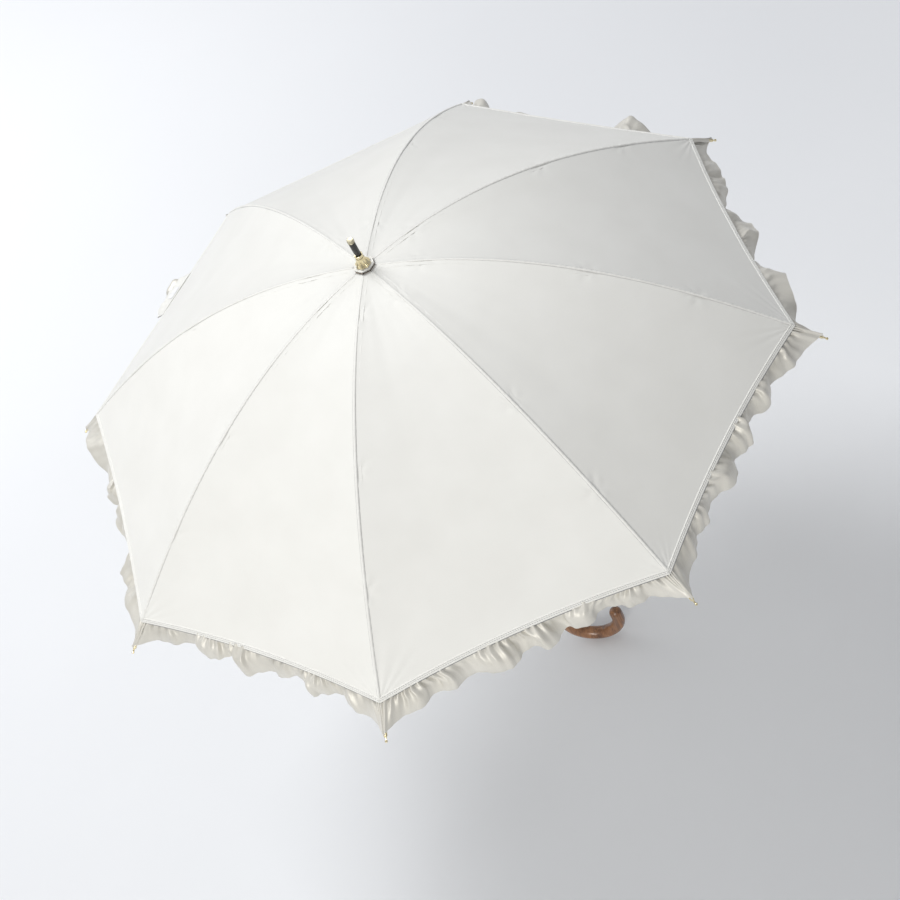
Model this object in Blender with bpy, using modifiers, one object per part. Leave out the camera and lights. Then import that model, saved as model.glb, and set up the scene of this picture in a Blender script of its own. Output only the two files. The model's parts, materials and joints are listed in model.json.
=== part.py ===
"""Frilled long parasol: eight ribs, eight gores with a gathered frill, crook handle.

The shaft stands along +Z with the crook's lowest point at z = 0. The canopy is open.
A rib is described by its slope along its length, and everything else is worked out from
that curve: gores, frill, hinge points and the isosceles rib and stretcher linkage.
"""
import math

import bmesh
import bpy

# ---- driving dimensions, in metres and degrees ----
RIBS = 8
RIB_LENGTH = 0.500            # from the canopy's centre to the rib's tip
APEX_Z = 0.7675               # top of the cloth on the shaft's axis
SLOPE_CROWN = -2.0            # slope below the horizontal at the centre
SLOPE_RISE = 77.8             # how fast the slope grows along the rib ...
SLOPE_EASE = -33.6            # ... and how that eases off towards the tip
HEM_AT = 0.918                # share of the rib's length where the gore's corner is
PIVOT_AT = 0.46               # share of the rib's length where the stretcher joins
FRILL_END_AT = 0.985          # share of the rib's length that the frill reaches
HEM_DIP = 0.009               # how far the hem curves in at the middle of a gore
CLOTH = 0.0008                # thickness of the gore's solid
FRILL_THICK = 0.005           # room that the gathered frill takes
GORE_START_R = 0.0057         # the gores start this far from the shaft's axis
SEAM_GAP = 0.0005             # from a gore's edge to the rib's plane
FRILL_START = 0.002           # share of the rib's length from the hem to the frill
FRILL_SIDE_GAP = 0.004        # from a frill's edge to the rib's plane
FIT = 0.0003                  # gap between pieces that touch

RIB_R = 0.0014
RIB_DROP = 0.0028             # rib's centreline below the cloth's top
RIB_SPLIT = 0.0006            # half the gap between a rib's two lengths
TIP_SLEEVE_R = 0.0021
TIP_NECK_R = 0.0010
TIP_BALL_R = 0.0016
TIP_SLEEVE = 0.006            # length of rib that the tip's sleeve covers
TIP_NECK = 0.008
STRETCHER_R = 0.0011
CLIP_DROP = 0.0045            # stretcher's pivot below the rib's centreline
RING_R = 0.009                # circle that rib and stretcher ends hinge on

SHAFT_R = 0.0040
SHAFT_WALL = 0.0006
SHAFT_FOOT_Z = 0.195          # lower end, inside the handle
SHAFT_HEAD_Z = APEX_Z + 0.006
NOTCH_R = 0.0105
NOTCH_TOP = 0.0012            # below the apex
NOTCH_HIGH = 0.0055
NOTCH_SLOT = 0.0034
NOTCH_SLOT_FROM = 0.0062      # radius where a rib's slot starts
SLOT_CUT = 0.010              # length of the block that cuts a slot, past the rim
RUNNER_FLANGE_R = 0.013
RUNNER_FLANGE_HIGH = 0.005
RUNNER_RIM_HIGH = 0.003       # barrel's rim above the flange
RUNNER_BARREL_R = 0.0063
RUNNER_BARREL_LONG = 0.034
RUNNER_SLOT = 0.0030
RUNNER_SLOT_FROM = 0.0072
CATCH_SIDE = 22.5             # direction of the catches, between two ribs
CATCH_THICK = 0.0014
CATCH_LONG = 0.022
CATCH_BACK = 0.0008           # half the catch's width at its foot
CATCH_FOOT_R = 0.0024         # radius of the foot, inside the shaft
UPPER_CATCH_REACH = 0.0066    # radius of the ledge that carries the open runner
LOWER_CATCH_REACH = 0.0074
CATCH_ROOM = 0.0030           # shaft's slot is longer than the catch by this
CATCH_SLOT = 0.0020           # width of the shaft's slot
CATCH_WAY = 0.0024            # slot that the catches pass through in the runner
CATCH_WAY_FROM = 0.0010
LOWER_CATCH_DROP = 0.010      # its ledge below the closed runner's pivots
CLOSED_ANGLE = 2.5            # rib's chord from the shaft when closed

CROWN_R = 0.008
CROWN_TOP = 0.0195
SLEEVE_R = 0.0035
SLEEVE_TOP = 0.0375
FERRULE_R = 0.0037
FERRULE_TOP = 0.0425
STEM_R = 0.0010
ROSETTE_R = 0.0118
ROSETTE_THICK = 0.0018

HANDLE_R = 0.0085
CROOK_R = 0.035
HANDLE_TOP_Z = 0.222
COLLAR_R = 0.0098
COLLAR_HIGH = 0.013
CROOK_END = 0.018             # straight stretch after the bend

STRAP_GORE = 4                # the gore that carries the name band
STRAP_SIDE = -0.0225          # its place along the hem, from the gore's middle
STRAP_LONG = 0.066            # along the hem
STRAP_WIDE = 0.018            # out from the hem
STRAP_THICK = 0.0022

HALF_GORE = math.pi / RIBS
MID = math.cos(HALF_GORE)     # radius of a gore's middle per radius of its ribs
STEPS = 250                   # integration steps along a rib


# ---- the rib's curve ----
def slope(share):
    """Slope below the horizontal at a share of the rib's length."""
    return math.radians(SLOPE_CROWN + SLOPE_RISE * share + SLOPE_EASE * share * share)


def cloth_line(share):
    """Radius and height of the cloth's top along a rib."""
    radius = height = 0.0
    step = share / STEPS
    for i in range(STEPS):
        angle = slope((i + 0.5) * step)
        radius += math.cos(angle) * step * RIB_LENGTH
        height -= math.sin(angle) * step * RIB_LENGTH
    return radius, APEX_Z + height


def under_cloth(share, depth):
    """A point that far below the cloth's top, measured square to it."""
    radius, height = cloth_line(share)
    angle = slope(share)
    return radius - math.sin(angle) * depth, height - math.cos(angle) * depth


def share_at_radius(radius):
    """Share of the rib's length at which the rib's centreline has that radius."""
    low, high = 0.0, 0.5
    for _ in range(40):
        middle = (low + high) / 2
        if under_cloth(middle, RIB_DROP)[0] < radius:
            low = middle
        else:
            high = middle
    return low


HINGE_SHARE = share_at_radius(RING_R)
HINGE = under_cloth(HINGE_SHARE, RIB_DROP)             # rib in the top notch
FLEX = under_cloth(PIVOT_AT, RIB_DROP)                 # where the rib's two lengths meet
PIVOT = under_cloth(PIVOT_AT, RIB_DROP + CLIP_DROP)    # stretcher on the rib
RUNNER_PIVOT_Z = 2 * PIVOT[1] - HINGE[1]
GORE_HINGE = (RING_R * MID, HINGE[1])
FRILL_HINGE = (cloth_line(PIVOT_AT)[0] * MID, cloth_line(PIVOT_AT)[1])


# ---- making objects ----
def clear_scene():
    for obj in list(bpy.data.objects):
        bpy.data.objects.remove(obj, do_unlink=True)


def collection(name):
    made = bpy.data.collections.new(name)
    bpy.context.scene.collection.children.link(made)
    return made


def material(name, colour, roughness, metallic=0.0):
    made = bpy.data.materials.new(name)
    made.use_nodes = True
    shader = made.node_tree.nodes["Principled BSDF"]
    shader.inputs["Base Color"].default_value = (*colour, 1.0)
    shader.inputs["Roughness"].default_value = roughness
    shader.inputs["Metallic"].default_value = metallic
    return made


def add(name, data, mat, where=None):
    """A new object in the parasol's collection."""
    obj = bpy.data.objects.new(name, data)
    (where or parts).objects.link(obj)
    if mat and not data.materials:
        data.materials.append(mat)
    return obj


def mesh_from(name, points, edges=(), faces=()):
    data = bpy.data.meshes.new(name)
    data.from_pydata(points, edges, faces)
    return data


def turned(name, profile, mat, steps=24, closed=False, smooth=True):
    """A turned piece. The profile runs down its outer side, and back up inside if closed."""
    edges = [(i, i + 1) for i in range(len(profile) - 1)]
    if closed:
        edges.append((len(profile) - 1, 0))
    obj = add(name, mesh_from(name, [(r, 0, z) for r, z in profile], edges), mat)
    screw = obj.modifiers.new("Turn", "SCREW")
    screw.steps = screw.render_steps = steps
    screw.use_merge_vertices = True
    screw.merge_threshold = 0.00001
    screw.use_smooth_shade = smooth
    return obj


def tube(name, points, radius, mat, rounding=2):
    """A round bar along the points, with filled ends."""
    data = bpy.data.curves.new(name, "CURVE")
    data.dimensions = "3D"
    data.bevel_depth = radius
    data.bevel_resolution = rounding
    data.use_fill_caps = True
    line = data.splines.new("POLY")
    line.points.add(len(points) - 1)
    for point, place in zip(line.points, points):
        point.co = (*place, 1.0)
    return add(name, data, mat)


def box_cutter(name, size, place, turn=0.0):
    """A block that is cut away from a piece, turned about the shaft."""
    data = bpy.data.meshes.new(name)
    work = bmesh.new()
    bmesh.ops.create_cube(work, size=1.0)
    bmesh.ops.scale(work, vec=size, verts=work.verts)
    bmesh.ops.translate(work, vec=place, verts=work.verts)
    work.to_mesh(data)
    work.free()
    obj = add(name, data, None, cutters)
    obj.rotation_euler.z = turn
    obj.hide_render = True
    obj.display_type = "WIRE"
    return obj


def cut(obj, *tools):
    for tool in tools:
        boolean = obj.modifiers.new("Cut " + tool.name, "BOOLEAN")
        boolean.operation = "DIFFERENCE"
        boolean.solver = "EXACT"
        boolean.object = tool
    return obj


def curve_to_mesh(obj):
    """The same piece as a mesh with its ends welded on, so that it can be cut."""
    bpy.context.view_layer.update()
    evaluated = obj.evaluated_get(bpy.context.evaluated_depsgraph_get())
    data = bpy.data.meshes.new_from_object(evaluated)
    work = bmesh.new()
    work.from_mesh(data)
    bmesh.ops.remove_doubles(work, verts=work.verts, dist=0.00001)
    work.to_mesh(data)
    work.free()
    name, place = obj.name, obj.matrix_world.copy()
    bpy.data.objects.remove(obj, do_unlink=True)
    made = add(name, data, None)
    made.matrix_world = place
    return made


def around(make, hinge, first_turn):
    """One piece for each rib or gore, with its origin on its hinge."""
    for number in range(RIBS):
        turn = first_turn + number * 2 * HALF_GORE
        obj = make(number + 1)
        obj.location = (hinge[0] * math.cos(turn), hinge[0] * math.sin(turn), hinge[1])
        obj.rotation_euler.z = turn


def spread(first, last, count):
    return [first + (last - first) * i / (count - 1) for i in range(count)]


# ---- ribs, tips and stretchers, drawn in the plane of one rib ----
def rib_piece(first, last, count, origin):
    points = []
    for share in spread(first, last, count):
        radius, height = under_cloth(share, RIB_DROP)
        points.append((radius - origin[0], 0.0, height - origin[1]))
    return points


def rib_inner(number):
    points = rib_piece(HINGE_SHARE, PIVOT_AT - RIB_SPLIT / RIB_LENGTH, 10, HINGE)
    return tube(f"rib_inner_{number}", points, RIB_R, black_steel)


RIB_END_AT = 1 - (TIP_NECK + FIT) / RIB_LENGTH - FIT / RIB_LENGTH


def rib_outer(number):
    points = rib_piece(PIVOT_AT + RIB_SPLIT / RIB_LENGTH, RIB_END_AT, 10, FLEX)
    return tube(f"rib_outer_{number}", points, RIB_R, black_steel)


def rib_tip(number):
    """A sleeve over the rib's end, a neck and a ball, turned about the rib's own line."""
    hole = RIB_R + FIT
    shoulder, chamfer = 0.0025, 0.0005
    profile = [(0, TIP_NECK)]
    for i in range(1, 6):
        angle = math.radians(150 * i / 5)
        profile.append(
            (TIP_BALL_R * math.sin(angle), TIP_NECK - TIP_BALL_R * (1 - math.cos(angle)))
        )
    profile += [(TIP_NECK_R, shoulder), (TIP_SLEEVE_R, chamfer), (TIP_SLEEVE_R, -TIP_SLEEVE)]
    profile += [(hole, -TIP_SLEEVE), (hole, 0), (0, 0)]
    return turned(f"rib_tip_{number}", profile, gold, 12)


def place_tips():
    radius, height = under_cloth(1 - TIP_NECK / RIB_LENGTH, RIB_DROP)
    angle = slope(1 - TIP_NECK / RIB_LENGTH)
    for number in range(RIBS):
        turn = number * 2 * HALF_GORE
        obj = rib_tip(number + 1)
        obj.location = (radius * math.cos(turn), radius * math.sin(turn), height)
        obj.rotation_euler = (0, math.pi / 2 + angle, turn)


def stretcher(number):
    """From the rivet on the rib down to the runner's flange."""
    end = (RING_R - PIVOT[0], 0.0, RUNNER_PIVOT_Z - PIVOT[1])
    return tube(f"stretcher_{number}", [(0, 0, 0), end], STRETCHER_R, black_steel)


# ---- gores and frill, drawn about the middle of one gore ----
def panel(name, shares_at, rows, columns, side_gap, origin, thick, offset, mat):
    """A curved panel between two ribs. shares_at(across, down) is the share of the rib's length
    for a point from -1 to 1 across the gore and from 0 to 1 down it."""
    points, faces = [], []
    for down in spread(0, 1, rows):
        for across in spread(-1, 1, columns):
            radius, height = cloth_line(shares_at(across, down))
            side = across * (radius * math.sin(HALF_GORE) - side_gap / math.cos(HALF_GORE))
            points.append((radius * MID - origin[0], side, height - origin[1]))
    for row in range(rows - 1):
        for column in range(columns - 1):
            corner = row * columns + column
            faces.append((corner, corner + columns, corner + columns + 1, corner + 1))
    obj = add(name, mesh_from(name, points, (), faces), mat)
    solid = obj.modifiers.new("Thickness", "SOLIDIFY")
    solid.thickness = thick
    solid.offset = offset
    return obj


def hem_share(across):
    return HEM_AT - HEM_DIP / RIB_LENGTH * (1 - across * across)


def gore(number):
    first = GORE_START_R / RIB_LENGTH

    def share(across, down):
        return first + (hem_share(across) - first) * down

    return panel(
        f"gore_{number}", share, 13, 5, SEAM_GAP, GORE_HINGE, CLOTH, -1.0, ivory_cloth
    )


def frill(number):
    def share(across, down):
        first = hem_share(across) + FRILL_START
        return first + (FRILL_END_AT - HEM_DIP / RIB_LENGTH * (1 - across ** 2) - first) * down

    return panel(
        f"frill_{number}", share, 4, 9, FRILL_SIDE_GAP, FRILL_HINGE, FRILL_THICK, 0.0, frill_cloth
    )


def tie_strap():
    """The name band: a folded band that lies along the hem, on top of the frill."""
    turn = (STRAP_GORE - 0.5) * 2 * HALF_GORE
    across = STRAP_SIDE / (cloth_line(HEM_AT)[0] * math.sin(HALF_GORE))
    share = hem_share(across) + 0.5 * STRAP_WIDE / RIB_LENGTH
    radius, height = cloth_line(share)
    data = bpy.data.meshes.new("tie_strap")
    work = bmesh.new()
    bmesh.ops.create_cube(work, size=1.0)
    bmesh.ops.scale(work, vec=(STRAP_WIDE, STRAP_LONG, STRAP_THICK), verts=work.verts)
    work.to_mesh(data)
    work.free()
    obj = add("tie_strap", data, strap_cloth)
    lift = FRILL_THICK / 2 + STRAP_THICK / 2 + 2 * FIT
    angle = slope(share)
    out = radius * MID + math.sin(angle) * lift
    obj.location = (
        out * math.cos(turn) - STRAP_SIDE * math.sin(turn),
        out * math.sin(turn) + STRAP_SIDE * math.cos(turn),
        height + math.cos(angle) * lift,
    )
    obj.rotation_euler = (0, angle, turn)
    return obj


# ---- shaft, notch, runner and catches ----
def ring_profile(outer, inner, top, bottom):
    return [(outer, top), (outer, bottom), (inner, bottom), (inner, top)]


def catch_levels():
    """Height of each catch's top: under the open runner, and inside the closed one's slot."""
    reach = math.dist(PIVOT, HINGE)
    closed = HINGE[1] - 2 * reach * math.cos(math.radians(CLOSED_ANGLE))
    runner_bottom = RUNNER_PIVOT_Z - RUNNER_FLANGE_HIGH / 2 - RUNNER_BARREL_LONG
    return runner_bottom - FIT, closed - LOWER_CATCH_DROP


UPPER_CATCH_Z, LOWER_CATCH_Z = catch_levels()


def shaft_tube():
    inner = SHAFT_R - SHAFT_WALL
    obj = turned(
        "shaft_tube", ring_profile(SHAFT_R, inner, SHAFT_HEAD_Z, SHAFT_FOOT_Z),
        dark_steel, 24, closed=True,
    )
    side = math.radians(CATCH_SIDE)
    for name, level in (("upper", UPPER_CATCH_Z), ("lower", LOWER_CATCH_Z)):
        size = (SHAFT_R, CATCH_SLOT, CATCH_LONG + CATCH_ROOM)
        place = (SHAFT_R, 0, level - CATCH_LONG / 2)
        cut(obj, box_cutter(f"cut_shaft_{name}", size, place, side))
    return obj


def catch(name, level, reach):
    """A flat wedge with a ledge on top, hinged at its foot inside the shaft."""
    outline = [(-CATCH_BACK, 0), (CATCH_BACK, 0), (reach - CATCH_FOOT_R, CATCH_LONG),
               (-CATCH_BACK, CATCH_LONG)]
    data = bpy.data.curves.new(name, "CURVE")
    data.dimensions = "2D"
    data.fill_mode = "BOTH"
    data.extrude = CATCH_THICK / 2
    line = data.splines.new("POLY")
    line.points.add(len(outline) - 1)
    line.use_cyclic_u = True
    for point, (x, z) in zip(line.points, outline):
        point.co = (x, z, 0, 1)
    obj = add(name, data, bright_steel)
    turn = math.radians(CATCH_SIDE)
    foot = (CATCH_FOOT_R * math.cos(turn), CATCH_FOOT_R * math.sin(turn))
    obj.location = (*foot, level - CATCH_LONG)
    obj.rotation_euler = (math.pi / 2, 0, turn)
    return obj


def top_notch():
    top = APEX_Z - NOTCH_TOP
    obj = turned(
        "top_notch", ring_profile(NOTCH_R, SHAFT_R + FIT, top, top - NOTCH_HIGH),
        black_plastic, 32, closed=True, smooth=False,
    )
    for number in range(RIBS):
        size = (SLOT_CUT, NOTCH_SLOT, 3 * NOTCH_HIGH)
        place = (NOTCH_SLOT_FROM + SLOT_CUT / 2, 0, top)
        cut(obj, box_cutter(f"cut_notch_{number}", size, place, number * 2 * HALF_GORE))
    return obj


def runner():
    """A barrel with a slotted flange, open along one side where the catches stand."""
    inner = SHAFT_R + FIT
    high, low = RUNNER_FLANGE_HIGH / 2, -RUNNER_FLANGE_HIGH / 2
    rim = high + RUNNER_RIM_HIGH
    profile = [
        (RUNNER_BARREL_R, rim), (RUNNER_BARREL_R, high), (RUNNER_FLANGE_R, high),
        (RUNNER_FLANGE_R, low), (RUNNER_BARREL_R, low), (RUNNER_BARREL_R, low - RUNNER_BARREL_LONG),
        (inner, low - RUNNER_BARREL_LONG), (inner, rim),
    ]
    obj = turned("runner", profile, black_plastic, 32, closed=True, smooth=False)
    obj.location.z = RUNNER_PIVOT_Z
    for number in range(RIBS):
        size = (SLOT_CUT, RUNNER_SLOT, 2.2 * high)
        place = (RUNNER_SLOT_FROM + SLOT_CUT / 2, 0, RUNNER_PIVOT_Z)
        cut(obj, box_cutter(f"cut_runner_{number}", size, place, number * 2 * HALF_GORE))
    size = (RUNNER_FLANGE_R + CATCH_WAY_FROM, CATCH_WAY, 3 * RUNNER_BARREL_LONG)
    place = (CATCH_WAY_FROM + size[0] / 2, 0, RUNNER_PIVOT_Z)
    cut(obj, box_cutter("cut_runner_way", size, place, math.radians(CATCH_SIDE)))
    return obj


# ---- crown, ferrule and handle ----
def crown_cap():
    """A flared cup over the shaft's head, with a socket on top for the ferrule's stem."""
    neck, neck_long = 0.0045, 0.0040
    base, lip, roof = ROSETTE_THICK + 2 * FIT, 0.0012, 0.0068
    shaft_room, socket = SHAFT_R + FIT, STEM_R + FIT
    profile = [(neck, CROWN_TOP), (neck, CROWN_TOP - neck_long)]
    for out in (0.20, 0.60):
        profile.append((
            neck + out * (CROWN_R - neck),
            base + lip + (1 - out) ** 1.5 * (CROWN_TOP - neck_long - base - lip) / 1.4,
        ))
    profile += [
        (CROWN_R, base + lip), (CROWN_R, base), (shaft_room, base), (shaft_room, roof),
        (socket, roof), (socket, CROWN_TOP),
    ]
    obj = turned("crown_cap", profile, gold, 16, closed=True, smooth=False)
    obj.location.z = APEX_Z
    return obj


def ferrule_sleeve():
    profile = ring_profile(SLEEVE_R, STEM_R + FIT, SLEEVE_TOP, CROWN_TOP + FIT)
    obj = turned("ferrule_sleeve", profile, black_plastic, 24, closed=True)
    obj.location.z = APEX_Z
    return obj


def ferrule_cap():
    """A gold button on a stem that runs down through the sleeve into the crown cap."""
    low, edge = SLEEVE_TOP + FIT, 0.0006
    stem_end = CROWN_TOP - 0.0060
    profile = [
        (0, FERRULE_TOP), (FERRULE_R - edge, FERRULE_TOP), (FERRULE_R, FERRULE_TOP - edge),
        (FERRULE_R, low), (STEM_R, low), (STEM_R, stem_end), (0, stem_end),
    ]
    obj = turned("ferrule_cap", profile, gold, 24)
    obj.location.z = APEX_Z
    return obj


def crown_rosette():
    """An eight-sided cloth washer between the cap and the canopy."""
    profile = ring_profile(ROSETTE_R, SHAFT_R + 2 * FIT, FIT + ROSETTE_THICK, FIT)
    obj = turned("crown_rosette", profile, ivory_cloth, RIBS, closed=True, smooth=False)
    obj.location.z = APEX_Z
    obj.rotation_euler.z = HALF_GORE
    return obj


def handle():
    """A crook: a straight grip, half a circle and a short end, bored for the shaft."""
    centre_z = HANDLE_R + CROOK_R
    points = [(0, 0, z) for z in spread(HANDLE_TOP_Z, centre_z, 6)[:-1]]
    for angle in spread(math.pi, 2 * math.pi, 17):
        points.append((CROOK_R + CROOK_R * math.cos(angle), 0, centre_z + CROOK_R * math.sin(angle)))
    points.append((2 * CROOK_R, 0, centre_z + CROOK_END))
    obj = curve_to_mesh(tube("handle", points, HANDLE_R, handle_wood, 3))
    bore = mesh_from("cut_handle_bore", [])
    work = bmesh.new()
    depth = HANDLE_TOP_Z - SHAFT_FOOT_Z + 3 * FIT
    room = SHAFT_R + FIT
    bmesh.ops.create_cone(
        work, cap_ends=True, segments=24, radius1=room, radius2=room, depth=2 * depth
    )
    bmesh.ops.translate(work, vec=(0, 0, HANDLE_TOP_Z), verts=work.verts)
    work.to_mesh(bore)
    work.free()
    tool = add("cut_handle_bore", bore, None, cutters)
    tool.hide_render = True
    tool.display_type = "WIRE"
    return cut(obj, tool)


def handle_collar():
    low, high = HANDLE_TOP_Z + FIT, HANDLE_TOP_Z + COLLAR_HIGH
    step = 0.0015
    profile = [
        (COLLAR_R - 2 * step, high), (COLLAR_R - step / 2, high - step), (COLLAR_R, high - 2 * step),
        (COLLAR_R, low + step), (COLLAR_R - step / 2, low),
        (SHAFT_R + FIT, low), (SHAFT_R + FIT, high),
    ]
    return turned("handle_collar", profile, gold, 32, closed=True)


clear_scene()
parts = collection("frilled_parasol")
cutters = collection("frilled_parasol_cutters")

ivory_cloth = material("ivory_cloth", (0.84, 0.82, 0.77), 0.62)
frill_cloth = material("frill_cloth", (0.80, 0.78, 0.71), 0.62)
strap_cloth = material("strap_cloth", (0.84, 0.82, 0.77), 0.62)
gold = material("gold_plate", (0.83, 0.66, 0.38), 0.25, 1.0)
black_steel = material("black_steel", (0.03, 0.03, 0.03), 0.35, 0.6)
dark_steel = material("dark_steel", (0.05, 0.045, 0.04), 0.30, 0.7)
bright_steel = material("bright_steel", (0.60, 0.60, 0.60), 0.30, 1.0)
black_plastic = material("black_plastic", (0.02, 0.02, 0.02), 0.30)
handle_wood = material("handle_wood", (0.33, 0.17, 0.08), 0.40)

shaft_tube()
top_notch()
runner()
catch("upper_catch", UPPER_CATCH_Z, UPPER_CATCH_REACH)
catch("lower_catch", LOWER_CATCH_Z, LOWER_CATCH_REACH)
crown_cap()
ferrule_sleeve()
ferrule_cap()
crown_rosette()
handle()
handle_collar()
around(rib_inner, HINGE, 0.0)
around(rib_outer, FLEX, 0.0)
place_tips()
around(stretcher, PIVOT, 0.0)
around(gore, GORE_HINGE, HALF_GORE)
around(frill, FRILL_HINGE, HALF_GORE)
tie_strap()
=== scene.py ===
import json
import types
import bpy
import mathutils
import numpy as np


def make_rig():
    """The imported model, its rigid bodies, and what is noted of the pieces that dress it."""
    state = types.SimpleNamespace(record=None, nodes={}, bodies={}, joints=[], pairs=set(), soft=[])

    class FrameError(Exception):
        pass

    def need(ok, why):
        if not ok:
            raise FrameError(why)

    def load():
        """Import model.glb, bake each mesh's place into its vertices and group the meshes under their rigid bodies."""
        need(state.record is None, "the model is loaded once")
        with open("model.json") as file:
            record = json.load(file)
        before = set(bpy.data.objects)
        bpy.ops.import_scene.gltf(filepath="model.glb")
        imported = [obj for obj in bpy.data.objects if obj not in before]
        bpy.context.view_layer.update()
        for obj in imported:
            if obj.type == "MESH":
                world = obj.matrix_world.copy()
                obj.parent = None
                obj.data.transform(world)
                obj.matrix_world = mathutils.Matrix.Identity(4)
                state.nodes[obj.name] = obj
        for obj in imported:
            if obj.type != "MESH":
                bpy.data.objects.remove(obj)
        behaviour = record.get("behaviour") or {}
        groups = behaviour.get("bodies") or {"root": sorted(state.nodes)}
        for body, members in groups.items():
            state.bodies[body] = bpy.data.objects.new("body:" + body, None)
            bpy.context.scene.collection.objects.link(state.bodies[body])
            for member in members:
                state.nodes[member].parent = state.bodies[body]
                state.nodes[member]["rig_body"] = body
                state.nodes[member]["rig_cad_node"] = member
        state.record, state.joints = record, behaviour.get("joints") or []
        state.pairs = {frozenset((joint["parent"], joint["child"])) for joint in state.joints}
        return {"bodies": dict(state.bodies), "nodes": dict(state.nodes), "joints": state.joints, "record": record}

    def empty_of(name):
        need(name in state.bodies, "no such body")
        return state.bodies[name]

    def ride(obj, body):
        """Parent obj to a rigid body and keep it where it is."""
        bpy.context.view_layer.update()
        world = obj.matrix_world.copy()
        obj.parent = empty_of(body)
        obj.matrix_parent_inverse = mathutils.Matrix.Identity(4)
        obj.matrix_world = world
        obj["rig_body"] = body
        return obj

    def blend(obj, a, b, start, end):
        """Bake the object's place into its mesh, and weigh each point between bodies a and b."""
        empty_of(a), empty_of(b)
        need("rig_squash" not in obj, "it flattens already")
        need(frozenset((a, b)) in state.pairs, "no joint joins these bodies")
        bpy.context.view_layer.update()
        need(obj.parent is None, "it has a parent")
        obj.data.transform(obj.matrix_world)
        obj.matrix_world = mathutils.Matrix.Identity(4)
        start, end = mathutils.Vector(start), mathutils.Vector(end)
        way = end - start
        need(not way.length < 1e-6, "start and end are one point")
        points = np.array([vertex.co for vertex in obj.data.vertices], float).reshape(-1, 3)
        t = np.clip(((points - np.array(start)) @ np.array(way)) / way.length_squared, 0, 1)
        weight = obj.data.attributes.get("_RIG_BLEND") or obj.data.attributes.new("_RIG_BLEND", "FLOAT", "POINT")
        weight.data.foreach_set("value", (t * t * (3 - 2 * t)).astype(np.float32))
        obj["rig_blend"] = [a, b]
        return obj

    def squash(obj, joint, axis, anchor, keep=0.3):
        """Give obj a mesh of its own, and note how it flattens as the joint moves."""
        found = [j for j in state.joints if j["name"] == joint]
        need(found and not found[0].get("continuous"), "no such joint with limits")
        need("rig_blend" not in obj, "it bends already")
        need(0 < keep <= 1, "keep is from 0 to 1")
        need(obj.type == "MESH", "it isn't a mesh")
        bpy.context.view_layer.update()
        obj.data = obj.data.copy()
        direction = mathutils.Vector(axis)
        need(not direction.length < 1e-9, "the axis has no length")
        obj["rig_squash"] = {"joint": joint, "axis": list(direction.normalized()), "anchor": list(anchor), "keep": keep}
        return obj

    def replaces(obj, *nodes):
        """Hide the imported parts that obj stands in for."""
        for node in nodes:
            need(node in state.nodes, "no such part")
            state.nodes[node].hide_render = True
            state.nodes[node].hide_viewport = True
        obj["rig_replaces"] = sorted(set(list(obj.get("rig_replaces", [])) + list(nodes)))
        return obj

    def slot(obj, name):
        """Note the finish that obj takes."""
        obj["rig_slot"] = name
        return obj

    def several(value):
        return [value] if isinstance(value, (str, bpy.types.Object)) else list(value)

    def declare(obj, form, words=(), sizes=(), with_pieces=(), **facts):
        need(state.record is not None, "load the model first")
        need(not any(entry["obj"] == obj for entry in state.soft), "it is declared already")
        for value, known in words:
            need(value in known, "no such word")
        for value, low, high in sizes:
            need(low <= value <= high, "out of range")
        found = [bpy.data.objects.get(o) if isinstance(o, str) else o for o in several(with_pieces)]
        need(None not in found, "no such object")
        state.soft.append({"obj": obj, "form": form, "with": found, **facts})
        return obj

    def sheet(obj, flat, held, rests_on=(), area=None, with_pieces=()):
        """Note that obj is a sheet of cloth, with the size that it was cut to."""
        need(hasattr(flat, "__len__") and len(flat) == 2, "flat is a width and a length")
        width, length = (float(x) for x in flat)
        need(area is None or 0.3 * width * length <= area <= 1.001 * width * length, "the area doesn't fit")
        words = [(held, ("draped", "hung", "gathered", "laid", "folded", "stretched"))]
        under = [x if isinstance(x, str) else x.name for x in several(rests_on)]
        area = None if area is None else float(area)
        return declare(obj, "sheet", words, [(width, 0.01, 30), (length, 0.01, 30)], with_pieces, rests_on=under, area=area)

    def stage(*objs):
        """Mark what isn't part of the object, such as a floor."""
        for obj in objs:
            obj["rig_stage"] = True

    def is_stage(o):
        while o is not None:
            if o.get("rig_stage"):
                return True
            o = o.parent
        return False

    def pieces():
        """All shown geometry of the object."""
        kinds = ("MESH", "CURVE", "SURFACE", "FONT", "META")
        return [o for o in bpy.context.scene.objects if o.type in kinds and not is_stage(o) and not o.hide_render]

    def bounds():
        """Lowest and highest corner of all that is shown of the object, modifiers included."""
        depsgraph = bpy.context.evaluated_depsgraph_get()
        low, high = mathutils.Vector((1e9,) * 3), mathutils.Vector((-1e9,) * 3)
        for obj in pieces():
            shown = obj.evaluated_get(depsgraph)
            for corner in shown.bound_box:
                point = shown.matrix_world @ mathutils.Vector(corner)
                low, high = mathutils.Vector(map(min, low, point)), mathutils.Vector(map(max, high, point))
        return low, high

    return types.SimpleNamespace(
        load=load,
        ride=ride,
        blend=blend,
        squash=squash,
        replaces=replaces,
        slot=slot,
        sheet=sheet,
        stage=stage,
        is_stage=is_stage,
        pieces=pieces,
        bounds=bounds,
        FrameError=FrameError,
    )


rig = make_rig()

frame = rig.load()

import json
import math
import random

import bmesh
import bpy
import numpy as np
from mathutils import Matrix, Vector

CAD_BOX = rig.bounds()

TAU = 2 * math.pi

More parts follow.
